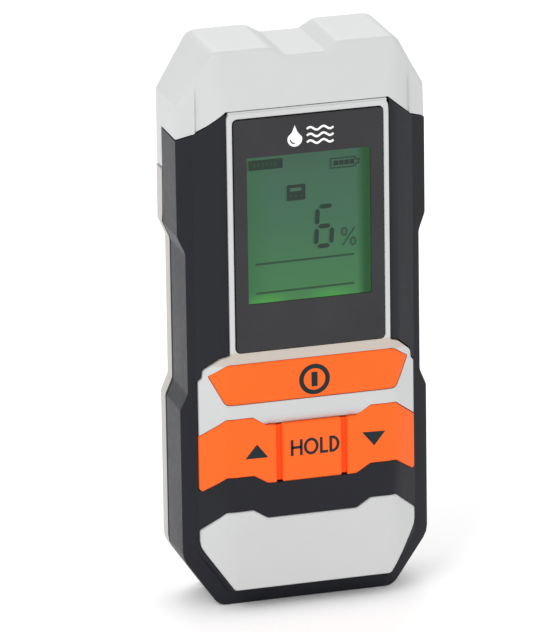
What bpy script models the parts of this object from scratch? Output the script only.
"""Handheld moisture meter with a pull-off pin cap, built as an assembly of separate parts.

All sizes below are millimetres. X runs across the meter, Z up its length, and "depth" is measured
from the frontmost face towards the back, so depth 0 is the front and DEPTH is the back.
"""

import math

import bmesh
import bpy
from mathutils import Matrix, Vector

MM = 0.001

# ---------------------------------------------------------------- driving dimensions
LENGTH = 150.0
WIDTH = 66.0
DEPTH = 27.0
WALL = 2.0
GAP = 0.3

HALF = WIDTH / 2
WAIST_INSET = 1.9
WAIST_LOW, WAIST_HIGH, WAIST_RAMP = 54.3, 100.8, 4.4
FOOT_HALF, FOOT_RISE = 23.5, 13.8
SHOULDER_Z, CROWN_HALF = 135.3, 24.4
HUMP_INNER, NOTCH_HALF, NOTCH_DROP = 9.1, 5.1, 2.3

RAIL_DEPTH = 7.2
RIM_DEPTH, RIM_WIDTH = 5.75, 3.77
ISLAND_FOOT, FOOT_LEAN = 4.2, 0.33
FRONT_DEPTH = 0.7
FACET_START = 22.5
FACET_SLOPE = 0.74
CREASE_RADIUS = 7.0
CROWN_LEAN = 0.13

SPLIT_DEPTH = 20.4
PARTING = ((0.0, 134.5), (21.4, 134.5), (28.8, 128.0), (HALF, 126.5))
SKIRT_Z = 115.2
BACK_ROUND = 1.5
SEAM_CHAMFER = 0.5

WINDOW_HALF, WINDOW_LOW, WINDOW_HIGH = 19.7, 70.6, 132.3
VIEW_HALF, VIEW_LOW, VIEW_HIGH = 16.3, 83.3, 122.1
FRAME_HALF = 21.3
PIECE_EDGE = 28.7
GROOVE_INNER, GROOVE_OUTER = 7.8, 9.6
KEY_TRAVEL = 0.8
BOARD_DEPTH, BOARD_THICK = 5.5, 1.2

DOOR_HALF, DOOR_LOW, DOOR_HIGH, DOOR_THICK = 16.5, 9.5, 63.0, 1.9
HINGE_Z = DOOR_LOW + DOOR_THICK / 2
HINGE_DEPTH = DEPTH - DOOR_THICK / 2

LABEL_HALF, LABEL_LOW, LABEL_HIGH = 17.0, 70.0, 97.0

PIN_X, PIN_DEPTH = 15.5, 14.5
CASE_SCREWS = ((-25.2, 23.0), (25.2, 23.0), (-25.2, 107.0), (25.2, 107.0))
BOARD_SCREWS = ((-17.0, 72.9), (17.0, 72.9), (-17.0, 129.4), (17.0, 129.4))

ARC_STEP = math.radians(15)

COLOURS = {
    "shell_dark": ((0.035, 0.036, 0.042), 0.45, 0.0),
    "shell_light": ((0.66, 0.67, 0.67), 0.42, 0.0),
    "key_orange": ((1.0, 0.17, 0.03), 0.5, 0.0),
    "window": ((0.05, 0.05, 0.055), 0.12, 0.0),
    "lcd_green": ((0.08, 0.2, 0.11), 0.2, 0.0),
    "light_guide": ((0.85, 0.9, 0.85), 0.3, 0.0),
    "board_green": ((0.02, 0.16, 0.06), 0.4, 0.0),
    "chip_black": ((0.02, 0.02, 0.022), 0.4, 0.0),
    "rubber_black": ((0.03, 0.03, 0.03), 0.8, 0.0),
    "foam_grey": ((0.12, 0.12, 0.13), 0.9, 0.0),
    "steel": ((0.62, 0.62, 0.62), 0.3, 1.0),
    "brass": ((0.75, 0.55, 0.22), 0.3, 1.0),
    "battery_blue": ((0.05, 0.1, 0.3), 0.35, 0.0),
    "label_silver": ((0.55, 0.56, 0.58), 0.35, 0.0),
}


# ---------------------------------------------------------------- scene and materials
def clear_scene():
    for obj in list(bpy.data.objects):
        bpy.data.objects.remove(obj)


def new_collection(name):
    made = bpy.data.collections.new(name)
    bpy.context.scene.collection.children.link(made)
    return made


def material(name):
    """The named Principled BSDF, made once."""
    found = bpy.data.materials.get(name)
    if found:
        return found
    colour, roughness, metallic = COLOURS[name]
    made = bpy.data.materials.new(name)
    made.use_nodes = True
    shader = made.node_tree.nodes["Principled BSDF"]
    shader.inputs["Base Color"].default_value = (*colour, 1.0)
    shader.inputs["Roughness"].default_value = roughness
    shader.inputs["Metallic"].default_value = metallic
    return made


# ---------------------------------------------------------------- outlines
def rounded(corners):
    """A closed outline from (u, v, radius) corners, each radius drawn as an arc."""
    points = []
    count = len(corners)
    for i, corner in enumerate(corners):
        here = Vector(corner[:2])
        radius = corner[2] if len(corner) > 2 else 0.0
        to_last = (Vector(corners[i - 1][:2]) - here).normalized()
        to_next = (Vector(corners[(i + 1) % count][:2]) - here).normalized()
        half_angle = to_last.angle(to_next) / 2
        if radius <= 0 or half_angle > math.radians(89):
            points.append(tuple(here))
            continue
        centre = here + (to_last + to_next).normalized() * radius / math.sin(half_angle)
        start = here + to_last * radius / math.tan(half_angle) - centre
        sweep = math.pi - 2 * half_angle
        turn = 1.0 if to_last.x * to_next.y - to_last.y * to_next.x < 0 else -1.0
        steps = max(1, round(sweep / ARC_STEP))
        for k in range(steps + 1):
            spot = Matrix.Rotation(turn * sweep * k / steps, 2) @ start + centre
            points.append(tuple(spot))
    return points


def mirrored(half):
    """A closed outline from the corners of its +X half, listed from one end of the middle to the other."""
    left = [(-c[0], *c[1:]) for c in reversed(half) if c[0] > 0]
    return list(half) + left


def foot_corners(half, low, inset, side_radius, low_radius):
    """The two corners of the chamfer between the bottom and the side, moved inwards by inset."""
    run = (HALF - FOOT_HALF) / FOOT_RISE
    shift = inset * math.hypot(1.0, run)
    side = (half - FOOT_HALF + shift) / run
    return [(FOOT_HALF + run * low - shift, low, low_radius), (half, side, side_radius)]


def crown_corners(inset):
    """The sloping shoulder, a hump and half of the notch between the humps, moved inwards by inset."""
    run = (HALF - CROWN_HALF) / (LENGTH - SHOULDER_Z)
    shift, half, top = inset * math.hypot(1.0, run), HALF - inset, LENGTH - inset
    return [
        (half, SHOULDER_Z + (HALF - half - shift) / run, 2.5),
        (HALF - run * (top - SHOULDER_Z) - shift, top, 4.0),
        (HUMP_INNER + inset * 0.4, top, 3.0),
        (NOTCH_HALF + inset * 0.4, top - NOTCH_DROP, 2.0),
        (0.0, top - NOTCH_DROP),
    ]


def body_corners(inset=0.0):
    """The meter's front-view outline, +X half, moved inwards by inset."""
    half = HALF - inset
    waist = half - WAIST_INSET
    return [
        (0.0, inset),
        *foot_corners(half, inset, inset, 6.0, 4.0),
        (half, WAIST_LOW, 2.0),
        (waist, WAIST_LOW + WAIST_RAMP, 3.0),
        (waist, WAIST_HIGH - WAIST_RAMP, 3.0),
        (half, WAIST_HIGH, 2.0),
        *crown_corners(inset),
    ]


def surround_corners(grow=0.0):
    """The light frame round the window and the power button, +X half. The keypad's top edge is its foot."""
    return [
        (0.0, 50.4 - grow),
        (12.2 - grow * 0.4, 50.4 - grow, 1.5),
        (15.7 - grow * 0.4, 52.9 - grow, 1.0),
        (22.7 + grow * 0.3, 52.8 - grow, 1.0),
        (PIECE_EDGE + grow, 47.9 - grow),
        (PIECE_EDGE + grow, 62.2 + grow * 0.5, 0.5),
        (27.8 + grow, 63.3 + grow * 0.5, 0.4),
        (27.6 + grow, 65.4 + grow * 0.5, 1.6),
        (23.6 + grow, 69.0 + grow, 3.0),
        (FRAME_HALF + grow, 69.8 + grow, 0.4),
        (FRAME_HALF + grow, 134.0 + grow, 1.6),
        (0.0, 134.0 + grow),
    ]


def power_corners(grow=0.0):
    return [
        (0.0, 56.7 - grow),
        (22.6 + grow * 0.6, 56.7 - grow, 1.8),
        (26.5 + grow, 64.2, 0.4),
        (22.0 + grow * 0.5, 67.3 + grow, 3.0),
        (0.0, 67.3 + grow),
    ]


def keypad_corners(grow=0.0, outer=PIECE_EDGE, inner=0.0):
    """The +X wing of the keypad from x = inner outwards."""
    return [
        (inner, 34.7 - grow),
        (11.9 - grow * 0.4, 34.7 - grow, 1.5),
        (15.6 - grow * 0.4, 37.0 - grow, 1.0),
        (22.6 + grow * 0.3, 37.0 - grow, 1.0),
        (outer + grow, 32.4 - grow, 0.6),
        (outer + grow, 47.4 + grow),
        (22.6 + grow * 0.3, 52.5 + grow, 1.0),
        (15.6 - grow * 0.4, 52.6 + grow, 1.0),
        (12.1 - grow * 0.4, 50.1 + grow, 1.5),
        (inner, 50.1 + grow),
    ]


def panel_corners(grow=0.0):
    return [
        (0.0, 6.2 - grow),
        (20.9 + grow * 0.5, 6.2 - grow, 1.2),
        (PIECE_EDGE + grow, 17.4 - grow * 0.5, 5.0),
        (PIECE_EDGE + grow, 21.8 + grow * 0.5, 1.0),
        (22.6 + grow * 0.3, 27.2 + grow, 1.2),
        (15.6 - grow * 0.4, 27.3 + grow, 1.0),
        (11.9 - grow * 0.4, 24.9 + grow, 1.5),
        (0.0, 24.9 + grow),
    ]


# ---------------------------------------------------------------- making and joining solids
def link(mesh, name, collection):
    obj = bpy.data.objects.new(name, mesh)
    collection.objects.link(obj)
    return obj


def mesh_of(bm, name):
    bmesh.ops.recalc_face_normals(bm, faces=bm.faces)
    mesh = bpy.data.meshes.new(name)
    bm.to_mesh(mesh)
    bm.free()
    return mesh


def place(u, v, w, axis):
    """A point in metres from outline coordinates u, v and a distance w along the extrusion axis."""
    if axis == "Y":
        return Vector((u, w - DEPTH / 2, v)) * MM
    if axis == "Z":
        return Vector((u, v - DEPTH / 2, w)) * MM
    return Vector((w, u - DEPTH / 2, v)) * MM


def prism(name, outline, low, high, axis="Y"):
    """An outline extruded along an axis: Y takes (x, z), Z takes (x, depth) and X takes (depth, z)."""
    bm = bmesh.new()
    verts = [bm.verts.new(place(u, v, low, axis)) for u, v in outline]
    face = bm.faces.new(verts)
    grown = bmesh.ops.extrude_face_region(bm, geom=[face])
    moved = [g for g in grown["geom"] if isinstance(g, bmesh.types.BMVert)]
    shift = place(0, 0, high, axis) - place(0, 0, low, axis)
    bmesh.ops.translate(bm, verts=moved, vec=shift)
    return link(mesh_of(bm, name), name, CUTTERS)


def block(name, x, depth, z, radius=0.0):
    """A box from three (low, high) ranges, with its upright edges along Y rounded."""
    corners = [(x[0], z[0], radius), (x[1], z[0], radius), (x[1], z[1], radius), (x[0], z[1], radius)]
    return prism(name, rounded(corners), depth[0], depth[1])


def rod(name, x, z, radius, depth, sides=24):
    """A cylinder along Y."""
    bm = bmesh.new()
    bmesh.ops.create_cone(
        bm, cap_ends=True, segments=sides, radius1=radius * MM, radius2=radius * MM,
        depth=(depth[1] - depth[0]) * MM, matrix=Matrix.Rotation(math.radians(90), 4, "X"))
    middle = (depth[0] + depth[1]) / 2
    bmesh.ops.translate(bm, verts=bm.verts, vec=place(x, z, middle, "Y"))
    return link(mesh_of(bm, name), name, CUTTERS)


def turned(name, profile, x, depth, sides=24):
    """A solid turned about a Z axis from (radius, z) points listed top to bottom, both ends on the axis."""
    bm = bmesh.new()
    verts = [bm.verts.new((r * MM, 0.0, z * MM)) for r, z in profile]
    for a, b in zip(verts, verts[1:]):
        bm.edges.new((a, b))
    obj = link(mesh_of(bm, name), name, CUTTERS)
    spin = obj.modifiers.new("turn", "SCREW")
    spin.steps = spin.render_steps = sides
    spin.use_merge_vertices = True
    spin.merge_threshold = 0.00001
    apply_modifiers(obj)
    bm = bmesh.new()
    bm.from_mesh(obj.data)
    bmesh.ops.recalc_face_normals(bm, faces=bm.faces)
    bmesh.ops.translate(bm, verts=bm.verts, vec=place(x, depth, 0.0, "Z"))
    bm.to_mesh(obj.data)
    bm.free()
    return obj


def apply_modifiers(obj):
    bpy.context.view_layer.update()
    graph = bpy.context.evaluated_depsgraph_get()
    mesh = bpy.data.meshes.new_from_object(obj.evaluated_get(graph))
    obj.modifiers.clear()
    obj.data = mesh


def combine(target, others, operation):
    """Joins, cuts or crosses target with each of the others, which are used up."""
    for other in others:
        boolean = target.modifiers.new(operation.lower(), "BOOLEAN")
        boolean.operation = operation
        boolean.solver = "EXACT"
        boolean.object = other
        apply_modifiers(target)
        bpy.data.objects.remove(other)
    return target


def cut(target, *others):
    return combine(target, others, "DIFFERENCE")


def join(target, *others):
    return combine(target, others, "UNION")


def cross(target, *others):
    return combine(target, others, "INTERSECT")


def round_edges(obj, width, segments, wanted):
    """Bevels the edges whose two ends satisfy wanted(point), with point in outline millimetres."""
    bm = bmesh.new()
    bm.from_mesh(obj.data)
    bmesh.ops.dissolve_limit(bm, angle_limit=math.radians(0.5), verts=bm.verts, edges=bm.edges)
    chosen = [
        e for e in bm.edges
        if len(e.link_faces) == 2
        and e.calc_face_angle(0) > math.radians(25)
        and all(wanted(v.co / MM + Vector((0, DEPTH / 2, 0))) for v in e.verts)
    ]
    bmesh.ops.bevel(bm, geom=chosen, offset=width * MM, segments=segments, profile=0.5,
                    affect="EDGES", clamp_overlap=True)
    bm.to_mesh(obj.data)
    bm.free()
    return obj


def finish(obj, name, material_name, origin=(0.0, DEPTH / 2, 0.0)):
    """Files a finished solid as a node of the model, with its origin at this x, depth and z."""
    pivot = place(origin[0], origin[2], origin[1], "Y")
    obj.data.transform(Matrix.Translation(-pivot))
    obj.location = pivot
    obj.name = obj.data.name = name
    for holder in list(obj.users_collection):
        holder.objects.unlink(obj)
    MODEL.objects.link(obj)
    obj.data.materials.clear()
    obj.data.materials.append(material(material_name))
    obj.data.shade_smooth()
    obj.data.set_sharp_from_angle(angle=math.radians(30))
    return obj


# ---------------------------------------------------------------- the front form
def front_form(proud=0.0):
    """The solid behind the meter's front face: a flat centre with a sloping facet on each side."""
    front = FRONT_DEPTH - proud
    drop = proud * math.hypot(1.0, FACET_SLOPE)
    reach = HALF + 6.0
    edge = FRONT_DEPTH + (reach - FACET_START) * FACET_SLOPE - drop
    crease = FACET_START + (front - FRONT_DEPTH + drop) / FACET_SLOPE
    half = [(0.0, 16.0), (reach, 16.0), (reach, edge), (crease, front, CREASE_RADIUS), (0.0, front)]
    return prism("front_form", rounded(mirrored(half)), -10.0, LENGTH + 10.0, "Z")


def on_front(p):
    """Whether an outline point lies in front of the sloping part of a plate's edge."""
    return p.y < FRONT_DEPTH + max(0.0, abs(p.x) - FACET_START + 1.5) * FACET_SLOPE


def skin(name, outline, proud, thickness):
    """A plate with this front-view outline that follows the front form, standing proud of it."""
    made = prism(name, outline, -5.0, 15.0)
    cross(made, front_form(proud))
    return cut(made, front_form(proud - thickness))


def below_parting(clearance, low=-5.0, high=60.0):
    """Everything under the line where the cap meets the body, as a solid."""
    edge = [(x, z + clearance) for x, z in PARTING]
    half = [(0.0, -20.0), (60.0, -20.0), (60.0, edge[-1][1])] + list(reversed(edge))
    return prism("below_parting", mirrored(half), low, high)


# ---------------------------------------------------------------- housing
def loft(name, levels):
    """A solid through outlines of equal point counts, given as (outline, depth) from front to back."""
    bm = bmesh.new()
    rings = [[bm.verts.new(place(u, v, depth, "Y")) for u, v in outline] for outline, depth in levels]
    for front, back in zip(rings, rings[1:]):
        for i in range(len(front)):
            j = (i + 1) % len(front)
            bm.faces.new((front[i], front[j], back[j], back[i]))
    bm.faces.new(rings[0])
    bm.faces.new(rings[-1])
    return link(mesh_of(bm, name), name, CUTTERS)


def rim_outline(inset):
    """The outline without waist or crown, for the facet that runs round the front edge."""
    half, top = HALF - inset, LENGTH + 10.0
    radii = (6.0 - inset * 0.4, 4.0 - inset * 0.6)
    feet = foot_corners(half, inset, inset, *radii)
    return rounded(mirrored([(0.0, inset), *feet, (half, top), (0.0, top)]))


def island_outline(low, inset):
    half, top = HALF - RIM_WIDTH, LENGTH + 10.0
    feet = foot_corners(half, low, inset, 4.5, 1.6)
    return rounded(mirrored([(0.0, low), *feet, (half, top), (0.0, top)]))


def front_solid():
    """The whole front of the meter, solid: a raised faceted island inside a sloping rim."""
    rim = loft("rim", [(rim_outline(RIM_WIDTH), RIM_DEPTH), (rim_outline(0.0), RAIL_DEPTH),
                       (rim_outline(0.0), SPLIT_DEPTH - GAP / 2)])
    leans = [(y, FOOT_LEAN * (RIM_DEPTH - y)) for y in (-1.0, RIM_DEPTH + 1.0)]
    island = loft("island", [(island_outline(ISLAND_FOOT + lean, RIM_WIDTH + 0.2 + lean), y)
                             for y, lean in leans])
    cross(island, front_form())
    join(rim, island)
    return cross(rim, prism("outline", rounded(mirrored(body_corners())), -5.0, 40.0))


def front_cover():
    cover = front_solid()
    cut(cover, prism("cavity", rounded(mirrored(body_corners(WALL))), RAIL_DEPTH + WALL, DEPTH))
    half, foot = HALF - RIM_WIDTH - WALL - 0.6, ISLAND_FOOT + 2.6
    feet = foot_corners(half, foot, RIM_WIDTH + 2.6, 3.0, 1.0)
    inner = [(0.0, foot), *feet, (half, LENGTH), (0.0, LENGTH)]
    hollow = prism("hollow", rounded(mirrored(inner)), -5.0, RAIL_DEPTH + WALL + 1.0)
    cross(hollow, front_form(-WALL))
    cut(cover, hollow)
    for x, z in CASE_SCREWS:
        join(cover, rod("boss", x, z, 3.2, (RAIL_DEPTH + 0.9, SPLIT_DEPTH - GAP / 2), 16))
        cut(cover, rod("pilot", x, z, 1.6, (RAIL_DEPTH + 3.0, DEPTH), 12))
    cut(cover, window_opening(), keypad_opening(), panel_opening())
    return cross(cover, below_parting(-GAP / 2))


def window_opening():
    """The hole in the front cover for the light surround, open at the cap end."""
    half = [(0.0, 46.0), (PIECE_EDGE + GAP, 46.0)] + surround_corners(GAP)[5:-2]
    half += [(FRAME_HALF + GAP, LENGTH + 20.0), (0.0, LENGTH + 20.0)]
    return prism("window_opening", rounded(mirrored(half)), -5.0, RAIL_DEPTH + 0.4)


def keypad_opening():
    corners = keypad_corners(GAP)[:5] + [(PIECE_EDGE + GAP, 47.0), (0.0, 47.0)]
    return prism("keypad_opening", rounded(mirrored(corners)), -5.0, RAIL_DEPTH + 0.9)


def panel_opening():
    return prism("panel_opening", rounded(mirrored(panel_corners(GAP))), -5.0, RAIL_DEPTH + 0.4)


def rear_cover():
    cover = prism("rear", rounded(mirrored(body_corners())), SPLIT_DEPTH + GAP / 2, DEPTH)
    round_edges(cover, BACK_ROUND, 2, lambda p: p.y > DEPTH - 0.01)
    cut(cover, block("above", (-60, 60), (0, 60), (SKIRT_Z - GAP / 2, 200)))
    cavity = prism("cavity", rounded(mirrored(body_corners(WALL + 0.4))), 10.0, DEPTH - WALL)
    cut(cavity, block("top_wall", (-60, 60), (0, 60), (SKIRT_Z - 1.8, 200)))
    cut(cover, cavity)
    cut(cover, block("neck_way", (-29.0, 29.0), (0, DEPTH - WALL), (100.0, 200.0)))
    for x, z in CASE_SCREWS:
        join(cover, rod("boss", x, z, 4.0, (SPLIT_DEPTH + GAP / 2, DEPTH - 1.0), 20))
        clearance = rod("clearance", x, z, 1.6, (0, 40), 12)
        cut(cover, clearance, rod("counterbore", x, z, 2.8, (DEPTH - 3.4, 40), 20))
    way_half, way_z = DOOR_HALF + GAP, (DOOR_LOW - GAP, DOOR_HIGH + GAP)
    cut(cover, block("door_way", (-way_half, way_half), (0, 40), way_z, 1.0))
    for side in (-1, 1):
        cut(cover, trunnion("socket", side, 0.75, 2.1))
    seat = block("label_seat", (-LABEL_HALF, LABEL_HALF), (DEPTH - 0.6, 40), (LABEL_LOW, LABEL_HIGH), 1.5)
    return cut(cover, seat)


def trunnion(name, side, radius, length):
    """A short hinge pin along X at a lower corner of the battery door."""
    bm = bmesh.new()
    bmesh.ops.create_cone(bm, cap_ends=True, segments=16, radius1=radius * MM, radius2=radius * MM,
                          depth=(length + 1.0) * MM, matrix=Matrix.Rotation(math.radians(90), 4, "Y"))
    middle = side * (DOOR_HALF + (length - 1.0) / 2)
    bmesh.ops.translate(bm, verts=bm.verts, vec=place(middle, HINGE_Z, HINGE_DEPTH, "Y"))
    return link(mesh_of(bm, name), name, CUTTERS)


def battery_door():
    """A flat door that turns on two trunnions at its foot, with a sprung thumb tab at its head."""
    half_thick = DOOR_THICK / 2
    profile = rounded([
        (HINGE_DEPTH - half_thick, DOOR_LOW, half_thick * 0.98), (DEPTH, DOOR_LOW, half_thick * 0.98),
        (DEPTH, DOOR_HIGH, 0.3), (HINGE_DEPTH - half_thick, DOOR_HIGH, 0.3)])
    door = prism("door", profile, -DOOR_HALF, DOOR_HALF, "X")
    for side in (-1, 1):
        slit = (side * 6.0 - 0.5, side * 6.0 + 0.5)
        cut(door, block("slit", slit, (0, 40), (DOOR_HIGH - 10.0, DOOR_HIGH + 5.0)))
    for row in range(3):
        z = DOOR_HIGH - 7.5 + row * 2.4
        cut(door, block("groove", (-4.0, 4.0), (DEPTH - 0.5, 40), (z, z + 1.1)))
    for side in (-1, 1):
        join(door, trunnion("pin", side, 0.6, 1.7))
    return door


def pin_cap():
    """The pull-off cap: two humps over the pins, a longer skirt at the back."""
    cap = prism("cap", rounded(mirrored(body_corners())), 0.0, DEPTH)
    round_edges(cap, BACK_ROUND, 2, lambda p: p.y > DEPTH - 0.01)
    cross(cap, cap_section(0.0))
    cut(cap, below_parting(GAP / 2, -5.0, SPLIT_DEPTH + GAP / 2))
    cut(cap, block("below_skirt", (-60, 60), (SPLIT_DEPTH - 1.0, 60), (-20, SKIRT_Z + GAP / 2)))
    round_edges(cap, SEAM_CHAMFER, 1, lambda p: p.z < SKIRT_Z + GAP and p.y > SPLIT_DEPTH)
    hollow = prism("hollow", rounded(mirrored(body_corners(WALL))), 0.0, DEPTH - WALL)
    cross(hollow, cap_section(WALL))
    return cut(cap, hollow)


def cap_section(inset):
    """The cap's cross-section extruded up the meter, with its front leaning back towards the crown."""
    front = FRONT_DEPTH - 0.1 + inset
    drop = inset * math.hypot(1.0, FACET_SLOPE)
    edge = HALF - RIM_WIDTH - 0.8
    edge_depth = FRONT_DEPTH - 0.1 + (edge - FACET_START) * FACET_SLOPE + drop
    beyond = RAIL_DEPTH + 5.0 * (RAIL_DEPTH - RIM_DEPTH) / RIM_WIDTH
    half = [(0.0, DEPTH + 5), (HALF + 5, DEPTH + 5), (HALF + 5, beyond + inset),
            (HALF - RIM_WIDTH, RIM_DEPTH + inset), (edge, edge_depth),
            (FACET_START, front, CREASE_RADIUS), (0.0, front)]
    section = prism("cap_section", rounded(mirrored(half)), 80.0, LENGTH + 10.0, "Z")
    tilt = [(-20.0, 100.0), (front, 100.0), (front, 134.4), (front + 27.6 * CROWN_LEAN, 162.0),
            (-20.0, 162.0)]
    return cut(section, prism("lean", tilt, -60.0, 60.0, "X"))


def pin_holder():
    """The dark block under the cap that carries the pins and closes the top of the housing."""
    holder = block("neck", (-21.0, 21.0), (10.2, 24.0), (112.0, 137.0), 2.0)
    join(holder, block("flange", (-28.0, 28.0), (9.9, 24.4), (118.5, 122.6), 1.0))
    join(holder, block("shelf", (-18.5, 18.5), (5.2, 11.0), (134.9, 136.6), 0.5))
    for side in (-1, 1):
        join(holder, turned("collar", [(0, 138.8), (2.9, 138.8), (3.4, 138.3), (3.4, 135.0), (0, 135.0)],
                            side * PIN_X, PIN_DEPTH))
    cut(holder, block("wire_room", (-19.0, 19.0), (11.8, 22.0), (100.0, 118.2)))
    for side in (-1, 1):
        profile = [(0, 145.0), (2.4, 145.0), (2.4, 116.7), (0, 116.7)]
        cut(holder, turned("bore", profile, side * PIN_X, PIN_DEPTH, 20))
    return holder


# ---------------------------------------------------------------- front pieces
def display_bezel():
    bezel = skin("bezel", rounded(mirrored(surround_corners())), 0.45, 2.2)
    for x, z in BOARD_SCREWS:
        join(bezel, rod("post", x, z, 1.9, (1.9, BOARD_DEPTH - GAP), 12))
        cut(bezel, rod("pilot", x, z, 1.25, (2.1, BOARD_DEPTH), 12))
    frame = (-WINDOW_HALF - 0.25, WINDOW_HALF + 0.25), (WINDOW_LOW - 0.25, WINDOW_HIGH + 0.25)
    cut(bezel, block("window_seat", frame[0], (-5, 1.45), frame[1], 1.3))
    half, span = VIEW_HALF + 0.8, (VIEW_LOW - 0.8, VIEW_HIGH + 0.8)
    cut(bezel, block("view_hole", (-half, half), (-5, 9), span, 0.5))
    return cut(bezel, prism("power_hole", rounded(mirrored(power_corners(0.25))), -5, 12))


def key(name, outline, proud, stem_x, stem_z):
    """A rubber key top with a round stem that carries the contact pill."""
    made = skin(name, outline, proud, 1.6)
    round_edges(made, 0.4, 1, on_front)
    return join(made, rod("stem", stem_x, stem_z, 2.6, (1.2, 4.0), 20))


def wing_outline(side):
    """One outer key, between its groove and the rail."""
    corners = keypad_corners(inner=GROOVE_OUTER)
    return rounded([(side * c[0], *c[1:]) for c in corners])


def keypad_mat():
    """The silicone web behind the keys, with ribs between them and a rim that stands on the board."""
    low, high = 31.5, 68.5
    mat = block("mat", (-20.2, 20.2), (3.0, 5.2), (low, high), 1.0)
    cut(mat, block("hollow", (-19.0, 19.0), (3.7, 9.0), (low + 1.2, high - 1.2), 0.5))
    for side in (-1, 1):
        rib = sorted(side * x for x in (GROOVE_INNER + GAP, GROOVE_OUTER - GAP))
        join(mat, block("rib", rib, (1.2, 3.2), (34.9, 49.8)))
    for x, z in KEY_STEMS.values():
        cut(mat, rod("way", x, z, 2.9, (0, 9), 20))
    return mat


KEY_STEMS = {"power": (0.0, 62.0), "up": (-15.2, 44.6), "hold": (0.0, 42.4), "down": (15.2, 44.6)}


# ---------------------------------------------------------------- inside
def main_board():
    low, high = 30.0, 132.0
    back = BOARD_DEPTH + BOARD_THICK
    board = block("board", (-23.0, 23.0), (BOARD_DEPTH, back), (low, high), 1.0)
    for x, z in BOARD_SCREWS:
        cut(board, rod("screw_hole", x, z, 1.3, (0, 20), 16))
    return board


def board_screw(x, z):
    screw = rod("screw", x, z, 0.95, (2.6, BOARD_DEPTH + BOARD_THICK + 0.6), 12)
    head = rod("head", x, z, 2.0, (BOARD_DEPTH + BOARD_THICK + 0.2, BOARD_DEPTH + BOARD_THICK + 1.5), 16)
    return join(head, screw)


def case_screw(x, z):
    seat = DEPTH - 3.4
    screw = rod("shank", x, z, 1.3, (RAIL_DEPTH + 3.5, seat + 0.6), 12)
    head = rod("head", x, z, 2.5, (seat + GAP, seat + 2.1), 20)
    join(head, screw)
    for turn in (0, 90):
        slot = block("slot", (-1.5, 1.5), (seat + 1.3, 40), (-0.3, 0.3))
        slot.matrix_world = Matrix.Translation(place(x, z, DEPTH / 2, "Y")) @ Matrix.Rotation(
            math.radians(turn), 4, "Y")
        cut(head, slot)
    return head


def battery_box():
    """An open tray behind the door that keeps the battery off the circuit board."""
    depths = (BOARD_DEPTH + BOARD_THICK + 0.4, DEPTH - WALL - GAP)
    box = block("box", (-15.2, 15.2), depths, (7.2, 64.0), 1.0)
    cut(box, block("bay", (-13.9, 13.9), (8.0, 40), (8.4, 62.8), 0.6))
    return cut(box, block("strip_notch", (-9.0, 9.0), (12.0, 40), (60.0, 70.0)))


BATTERY_TOP = 54.6


def battery_terminal(side, radius, height):
    """A snap terminal on top of the battery."""
    top = BATTERY_TOP + GAP + height
    profile = [(0, top), (radius * 0.9, top), (radius, top - 0.4), (radius * 0.82, top - 1.0),
               (radius, BATTERY_TOP + GAP), (0, BATTERY_TOP + GAP)]
    return turned("terminal", profile, side * 6.35, 16.2, 20)


def terminal_block():
    """The plate at the head of the battery bay, with a cup for each snap terminal."""
    plate = block("block", (-12.0, 12.0), (11.2, 21.2), (BATTERY_TOP + 0.4, BATTERY_TOP + 4.4), 0.8)
    for side, radius in ((-1, 4.3), (1, 3.3)):
        top = BATTERY_TOP + 3.0
        profile = [(0, top), (radius, top), (radius, BATTERY_TOP), (0, BATTERY_TOP)]
        cut(plate, turned("socket", profile, side * 6.35, 16.2, 20))
    return plate


def terminal_strip(side):
    """A sprung strip from a battery terminal up to the circuit board."""
    x, low, back = side * 6.35, BATTERY_TOP + 5.1, BOARD_DEPTH + BOARD_THICK + GAP
    outline = [(16.5, low - 0.4), (16.5, low), (14.6, low), (14.6, 66.3), (14.3, 66.6), (back, 66.6),
               (back, 66.2), (14.2, 66.2), (14.2, low - 0.4)]
    return prism("strip", outline, x - 1.5, x + 1.5, "X")


def measuring_pin(side):
    """A steel pin with a hexagon collar and a ground point."""
    profile = [(0, 146.8), (0.15, 146.7), (1.15, 141.6), (1.15, 139.2), (2.0, 139.0), (2.0, 138.0),
               (1.1, 137.9), (1.1, 124.6), (0, 124.6)]
    return turned("pin", profile, side * PIN_X, PIN_DEPTH, 18)


def pin_socket(side):
    """The brass insert that a pin screws into."""
    profile = [(0, 137.4), (2.1, 137.4), (2.1, 119.0), (0, 119.0)]
    outer = turned("insert", profile, side * PIN_X, PIN_DEPTH, 18)
    return cut(outer, turned("thread", [(0, 145.0), (1.3, 145.0), (1.3, 124.2), (0, 124.2)],
                             side * PIN_X, PIN_DEPTH, 18))


def pin_strip(side):
    """A sprung strip that joins a brass insert to the circuit board."""
    x = side * PIN_X
    near = BOARD_DEPTH + BOARD_THICK + GAP
    outline = [(near, 106.0), (14.2, 106.0), (15.2, 107.0), (15.2, 118.7), (14.9, 118.7), (14.9, 107.2),
               (14.0, 106.3), (near, 106.3)]
    return prism("strip", outline, x - 1.5, x + 1.5, "X")


def buzzer():
    can = rod("buzzer", 0.0, 98.0, 6.0, (BOARD_DEPTH + BOARD_THICK + GAP, 13.0), 28)
    return cut(can, rod("port", 0.0, 98.0, 0.9, (9.0, 20.0), 12))


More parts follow.
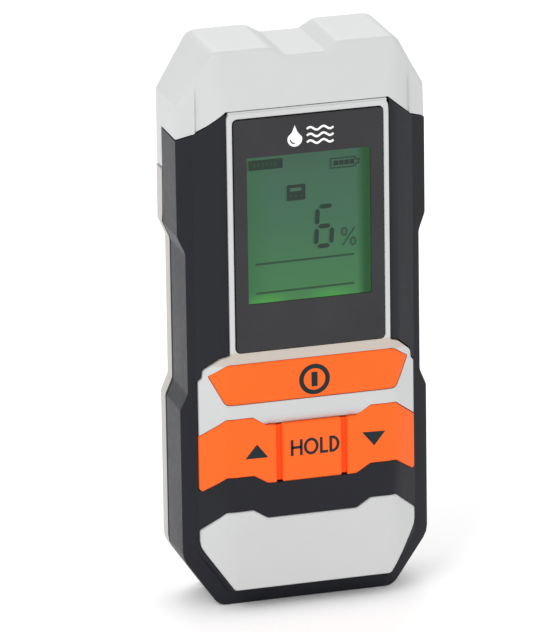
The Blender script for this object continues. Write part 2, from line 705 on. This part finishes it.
def build_keys():
    stems = KEY_STEMS
    square = [(x, z, 0.5) for x, z in ((-1, 34.7), (1, 34.7), (1, 50.1), (-1, 50.1))]
    outlines = {
        "power": rounded(mirrored(power_corners())), "up": wing_outline(-1), "down": wing_outline(1),
        "hold": rounded([(side * GROOVE_INNER, z, radius) for side, z, radius in square])}
    for name, (x, z) in stems.items():
        proud, piece = (0.45, "power_button") if name == "power" else (0.55, name + "_key")
        finish(key(name, outlines[name], proud, x, z), piece, "key_orange", (x, 0.0, z))
        pill = rod("pill", x, z, 2.0, (4.1, BOARD_DEPTH - KEY_TRAVEL - 0.1), 20)
        finish(pill, name + "_contact", "rubber_black", (x, 0.0, z))
    finish(keypad_mat(), "keypad_mat", "key_orange")


def build_front():
    finish(front_cover(), "front_cover", "shell_dark")
    finish(display_bezel(), "display_bezel", "shell_light")
    window = block("window", (-WINDOW_HALF, WINDOW_HALF), (0.0, 1.15), (WINDOW_LOW, WINDOW_HIGH), 1.1)
    finish(window, "display_window", "window")
    panel = skin("panel", rounded(mirrored(panel_corners())), 0.5, 1.9)
    finish(round_edges(panel, 0.5, 1, on_front), "lower_panel", "shell_light")
    finish(block("lcd", (-18.6, 18.6), (2.7, 4.0), (75.8, 126.5), 0.4), "lcd_glass", "lcd_green")
    finish(block("guide", (-18.6, 18.6), (4.3, 5.2), (80.2, 126.5), 0.4), "backlight_plate", "light_guide")
    finish(block("zebra", (-17.0, 17.0), (4.3, 5.2), (76.4, 78.8)), "zebra_strip", "rubber_black")


def build_head():
    finish(pin_cap(), "pin_cap", "shell_light", (0.0, DEPTH / 2, SKIRT_Z))
    finish(pin_holder(), "pin_holder", "shell_dark")
    for side, word in ((-1, "left"), (1, "right")):
        finish(measuring_pin(side), "pin_" + word, "steel")
        finish(pin_socket(side), "pin_socket_" + word, "brass")
        finish(pin_strip(side), "pin_strip_" + word, "brass")


def build_inside():
    back = BOARD_DEPTH + BOARD_THICK + GAP
    finish(main_board(), "main_board", "board_green")
    finish(block("chip", (-5.0, 5.0), (back, back + 1.6), (74.0, 84.0)), "microcontroller", "chip_black")
    regulator = block("regulator", (9.0, 12.5), (back, back + 1.5), (70.0, 76.5))
    finish(regulator, "voltage_regulator", "chip_black")
    finish(block("crystal", (-14.5, -10.5), (back, back + 2.6), (74.0, 84.5), 1.9), "crystal", "steel")
    finish(rod("capacitor", 14.0, 86.0, 3.0, (back, back + 6.5), 24), "capacitor", "chip_black")
    finish(buzzer(), "buzzer", "chip_black")
    for i, (x, z) in enumerate(BOARD_SCREWS, 1):
        finish(board_screw(x, z), f"board_screw_{i}", "steel")


def build_sensor():
    finish(block("sensor", (-19.0, 19.0), (24.2, 24.7), (68.0, 98.0), 1.0), "sensor_plate", "brass")


def build_power():
    finish(battery_box(), "battery_box", "shell_light")
    body = block("battery", (-13.1, 13.1), (8.3, 24.0), (8.8, BATTERY_TOP), 0.0)
    finish(round_edges(body, 1.6, 3, lambda p: True), "battery", "battery_blue")
    finish(battery_terminal(-1, 3.9, 2.1), "battery_terminal_minus", "steel")
    finish(battery_terminal(1, 2.9, 2.1), "battery_terminal_plus", "steel")
    finish(terminal_block(), "terminal_block", "chip_black")
    for side, word in ((-1, "minus"), (1, "plus")):
        finish(terminal_strip(side), "terminal_strip_" + word, "brass")


def build_back():
    finish(rear_cover(), "rear_cover", "shell_light")
    hinge = (0.0, HINGE_DEPTH, HINGE_Z)
    finish(battery_door(), "battery_door", "shell_light", hinge)
    label = block("label", (GAP - LABEL_HALF, LABEL_HALF - GAP), (DEPTH - 0.3, DEPTH - 0.1),
                  (LABEL_LOW + GAP, LABEL_HIGH - GAP), 1.3)
    finish(label, "rating_label", "label_silver")
    pad = block("pad", (-8.0, 8.0), (24.3, 24.8), (18.0, 48.0), 1.0)
    finish(pad, "battery_pad", "foam_grey", hinge)
    for i, (x, z) in enumerate(CASE_SCREWS, 1):
        finish(case_screw(x, z), f"case_screw_{i}", "steel")


clear_scene()
MODEL = new_collection("stud_finder")
CUTTERS = new_collection("construction")
build_front()
build_keys()
build_head()
build_inside()
build_sensor()
build_power()
build_back()
